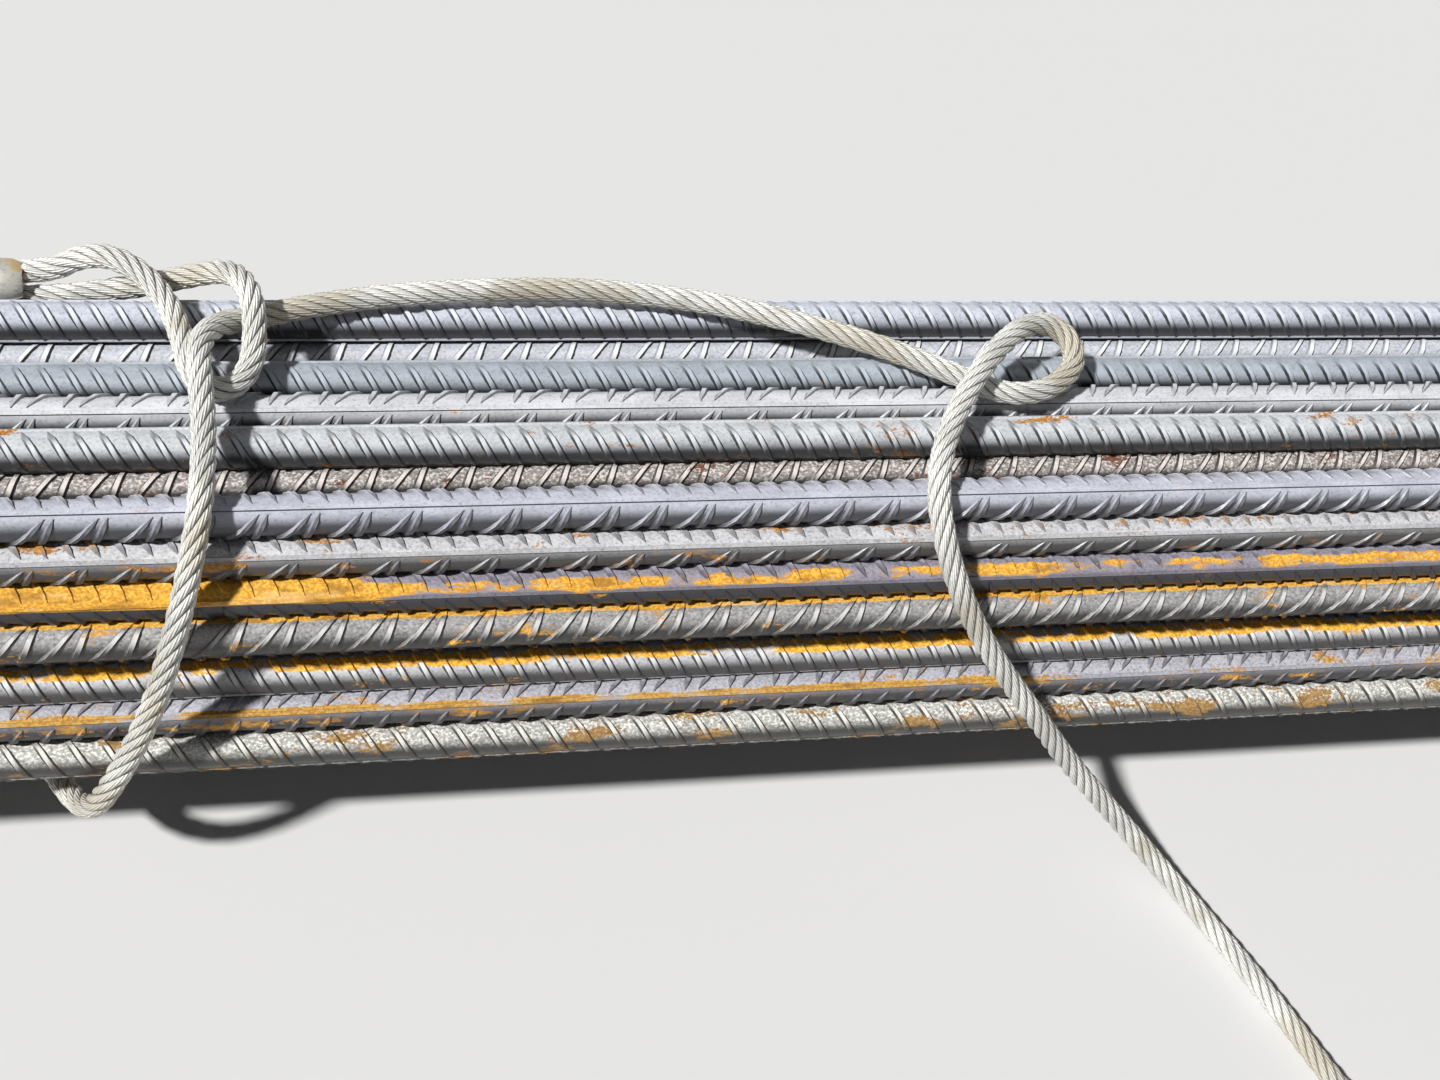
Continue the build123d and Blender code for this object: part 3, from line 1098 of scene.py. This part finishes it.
def timber_finish(name, shift):
    """Pine: growth rings that run along it and show on its ends, saw marks and dirt."""
    finish = Finish(name, Specular_IOR_Level=0.3)
    rings = finish.node(
        "ShaderNodeTexWave",
        {"wave_type": "RINGS", "rings_direction": "Y", "wave_profile": "SAW"},
        {"Vector": finish.place((1, 0.06, 1), shift), "Scale": 42.0, "Distortion": 5.0, "Detail": 2.0,
         "Detail Scale": 9.0},
        output=1)
    sway = finish.noise((9, 2.2, 9), shift, 2.0)
    fibres = finish.noise((900, 26, 900), shift, 2.0, 0.6)
    saw = finish.noise((60, 700, 60), shift, 1.0, 0.5)
    tone = finish.mix(rings.ramp(0.2, 0.95), (0.64, 0.44, 0.22), (0.46, 0.26, 0.10))
    tone = finish.mix(fibres.ramp(0.5, 0.75) * 0.5, tone, (0.36, 0.21, 0.09))
    tone = finish.mix(sway.ramp(0.5, 0.75) * 0.45, tone, (0.40, 0.36, 0.31))
    finish.feed("Base Color", tone)
    finish.feed("Roughness", 0.68 + fibres * 0.2)
    finish.bump(fibres + saw * 0.6 + rings * 0.3, 0.5 * MM, 0.6)
    return finish.material


class REBAR_OT_spacers(bpy.types.Operator):
    """Saw the two timber spacers under the bundle"""
    bl_idname = "rebar.spacers"
    bl_label = "Timber Spacers"

    def execute(self, context):
        for number, side in enumerate(("left", "right")):
            node = "spacer_" + side
            spacer = model_spacer("timber_" + side, node)
            low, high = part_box(node)
            pith = (-(low.x + high.x) / 2 + 0.02, 0.4 * number, 0.01)
            finish_piece(spacer, timber_finish("pine_" + side, pith), node)
        return {"FINISHED"}


# Camera, floor and light

# The camera's place, the way it looks and the way to its right, and the way the key light shines
CAMERA_PLACE = Vector((36.5, -519.5, 794.2)) * MM
CAMERA_AHEAD = Vector((0.2301, 0.5730, -0.7866))
CAMERA_RIGHT = Vector((0.9728, -0.1575, 0.1699))
KEY_LIGHT_WAY = Vector((0.60, 0.22, -0.76))
FILL_COLOUR = (0.78, 0.86, 1.0)
BACKDROP_COLOUR = (0.92, 0.93, 0.95)
FLOOR_SIZE = 24


class REBAR_OT_stage(bpy.types.Operator):
    """Set the camera, the plain floor and the soft light"""
    bl_idname = "rebar.stage"
    bl_label = "Camera, Floor and Light"

    def execute(self, context):
        settings = context.scene.rebar_stage
        deselect()
        bpy.ops.object.camera_add(location=CAMERA_PLACE)
        camera = context.active_object
        ahead = CAMERA_AHEAD.normalized()
        right = (CAMERA_RIGHT - ahead * CAMERA_RIGHT.dot(ahead)).normalized()
        up = right.cross(ahead)
        turn = Matrix((right, up, -ahead)).transposed().to_4x4()
        camera.matrix_world = Matrix.Translation(CAMERA_PLACE) @ turn
        camera.data.lens = 50
        camera.data.clip_start = 0.05
        context.scene.camera = camera
        bpy.ops.mesh.primitive_plane_add(size=FLOOR_SIZE)
        floor = context.active_object
        floor.name = "floor"
        finish = Finish("floor_finish", Roughness=0.75, Base_Color=(*settings.floor_colour, 1))
        floor.data.materials.append(finish.material)
        bpy.ops.object.light_add(type="SUN", location=(-0.8, 0.4, 2.4))
        key = context.active_object
        key.data.energy = settings.key_strength
        key.data.angle = settings.key_angle
        key.rotation_euler = KEY_LIGHT_WAY.to_track_quat("-Z", "Y").to_euler()
        world = bpy.data.worlds.new("even_light")
        world.use_nodes = True
        nodes = world.node_tree.nodes
        fill = nodes["Background"]
        backdrop = nodes.new("ShaderNodeBackground")
        fill.inputs["Color"].default_value = (*FILL_COLOUR, 1)
        fill.inputs["Strength"].default_value = settings.fill_strength
        backdrop.inputs["Color"].default_value = (*BACKDROP_COLOUR, 1)
        ray = nodes.new("ShaderNodeLightPath")
        either = nodes.new("ShaderNodeMath")
        either.operation = "MAXIMUM"
        choice = nodes.new("ShaderNodeMixShader")
        for output, socket in (
                (ray.outputs["Is Camera Ray"], either.inputs[0]),
                (ray.outputs["Is Glossy Ray"], either.inputs[1]),
                (either.outputs[0], choice.inputs[0]),
                (fill.outputs[0], choice.inputs[1]),
                (backdrop.outputs[0], choice.inputs[2]),
                (choice.outputs[0], nodes["World Output"].inputs["Surface"])):
            world.node_tree.links.new(output, socket)
        context.scene.world = world
        context.scene.view_settings.view_transform = "Standard"
        return {"FINISHED"}


class REBAR_PT_panel(bpy.types.Panel):
    """Lists the bundle's sizes, colours and builders in the sidebar"""
    bl_idname = "REBAR_PT_panel"
    bl_label = "Rebar Bundle"
    bl_space_type = "VIEW_3D"
    bl_region_type = "UI"
    bl_category = "Rebar"

    def draw(self, context):
        for group in SETTINGS:
            box = self.layout.box()
            settings = getattr(context.scene, group)
            for setting in settings.bl_rna.properties:
                if setting.identifier not in ("rna_type", "name"):
                    box.prop(settings, setting.identifier)
        for operator in OPERATORS:
            self.layout.operator(operator.bl_idname)


SETTINGS = {
    "rebar_bar": RebarBarSettings,
    "rebar_rope": RebarRopeSettings,
    "rebar_stage": RebarStageSettings,
}
OPERATORS = (
    REBAR_OT_stage, REBAR_OT_ferrules, REBAR_OT_sling, REBAR_OT_bars, REBAR_OT_ties, REBAR_OT_spacers)


def register():
    for name, group in SETTINGS.items():
        bpy.utils.register_class(group)
        setattr(bpy.types.Scene, name, PointerProperty(type=group))
    for operator in (*OPERATORS, REBAR_PT_panel):
        bpy.utils.register_class(operator)


def unregister():
    for operator in reversed((*OPERATORS, REBAR_PT_panel)):
        bpy.utils.unregister_class(operator)
    for name, group in SETTINGS.items():
        delattr(bpy.types.Scene, name)
        bpy.utils.unregister_class(group)


def main():
    register()
    bpy.ops.rebar.stage()
    bpy.ops.rebar.ferrules()
    bpy.ops.rebar.sling()
    bpy.ops.rebar.bars()
    bpy.ops.rebar.ties()
    bpy.ops.rebar.spacers()


if __name__ == "__main__":
    main()
